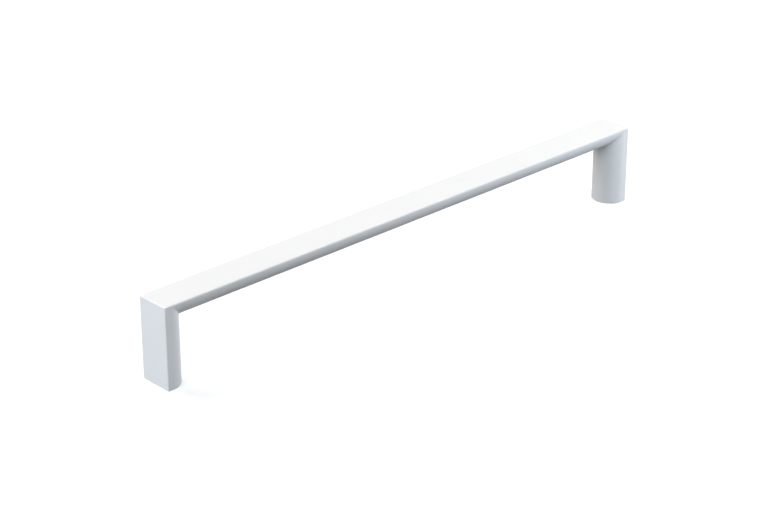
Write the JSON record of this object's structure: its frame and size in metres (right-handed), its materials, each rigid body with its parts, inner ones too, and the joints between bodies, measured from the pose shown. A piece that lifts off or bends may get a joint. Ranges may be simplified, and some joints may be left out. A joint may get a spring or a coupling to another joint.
{
  "type": "furniture handle",
  "caption": "One-piece bridge pull handle with a flat grip face, a half-round underside and D-shaped legs, fixed from behind by screws into blind tapped holes.",
  "frame": {"origin": "middle of the plane of the feet, half way between the screw holes", "axes": "+X along the bar, +Y across it, +Z away from the furniture face towards the flat grip face"},
  "size_m": [0.2, 0.0118, 0.027],
  "materials": {
    "white_coating": "matte"
  },
  "bodies": {
    "root": {"handle": "white_coating"}
  },
  "joints": []
}
